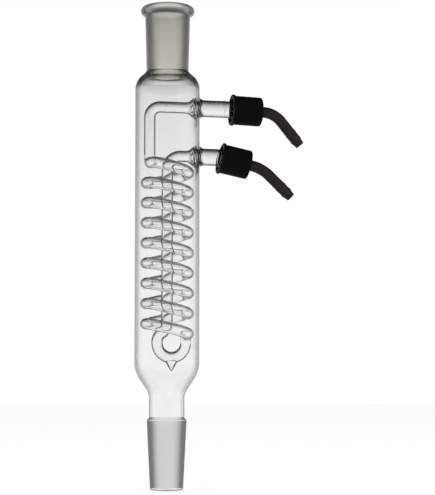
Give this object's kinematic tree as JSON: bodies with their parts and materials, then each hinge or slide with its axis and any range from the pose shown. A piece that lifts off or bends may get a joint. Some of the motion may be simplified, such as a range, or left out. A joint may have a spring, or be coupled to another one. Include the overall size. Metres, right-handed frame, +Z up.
{
  "type": "coil reflux condenser",
  "caption": "Coil reflux condenser: a glass jacket with a ground socket and cone, a coiled water tube sealed inside, and screw-capped side arms with bent hose nozzles.",
  "frame": {"origin": "centre of the ground cone's tip, which is the lower end of the condenser", "axes": "+Z up along the condenser's axis from cone to socket, +X along the side arms"},
  "size_m": [0.1055, 0.0394, 0.2945],
  "materials": {
    "jacket_glass": "clear, with satin ground joints",
    "coil_glass": "clear",
    "cap_plastic": "moulded, satin",
    "nozzle_plastic": "moulded, smoky and slightly clear",
    "seal_silicone": "satin"
  },
  "bodies": {
    "glass": {"glass_jacket": "jacket_glass", "down_leg": "coil_glass", "upper_coil": "coil_glass", "lower_coil": "coil_glass", "drip_hook": "coil_glass", "centre_tube": "coil_glass"},
    "upper_seal": {"upper_seal": "seal_silicone"},
    "upper_cap": {"upper_cap": "cap_plastic"},
    "upper_nozzle": {"upper_nozzle": "nozzle_plastic"},
    "lower_seal": {"lower_seal": "seal_silicone"},
    "lower_cap": {"lower_cap": "cap_plastic"},
    "lower_nozzle": {"lower_nozzle": "nozzle_plastic"}
  },
  "joints": [
    {"name": "upper_cap_travel", "type": "slide", "parent": "glass", "child": "upper_seal", "axis": [0.9994, 0, -0.0349], "range_m": [0, 0.00875]},
    {"name": "upper_cap_turn", "type": "hinge", "parent": "upper_seal", "child": "upper_cap", "pos_m": [0.04, 0, 0.23186], "axis": [0.9994, 0, -0.0349], "range_deg": [0, 1260]},
    {"name": "upper_nozzle_swivel", "type": "hinge", "parent": "upper_seal", "child": "upper_nozzle", "pos_m": [0.05799, 0, 0.23123], "axis": [0.9994, 0, -0.0349], "continuous": true},
    {"name": "lower_cap_travel", "type": "slide", "parent": "glass", "child": "lower_seal", "axis": [0.9789, 0, -0.2045], "range_m": [0, 0.00875]},
    {"name": "lower_cap_turn", "type": "hinge", "parent": "lower_seal", "child": "lower_cap", "pos_m": [0.03287, 0, 0.20172], "axis": [0.9789, 0, -0.2045], "range_deg": [0, 1260]},
    {"name": "lower_nozzle_swivel", "type": "hinge", "parent": "lower_seal", "child": "lower_nozzle", "pos_m": [0.05049, 0, 0.19804], "axis": [0.9789, 0, -0.2045], "continuous": true}
  ],
  "couplings": [
    {"joint": "upper_cap_travel", "follows": "upper_cap_turn", "m_per_rad": 0.00039789},
    {"joint": "lower_cap_travel", "follows": "lower_cap_turn", "m_per_rad": 0.00039789}
  ]
}
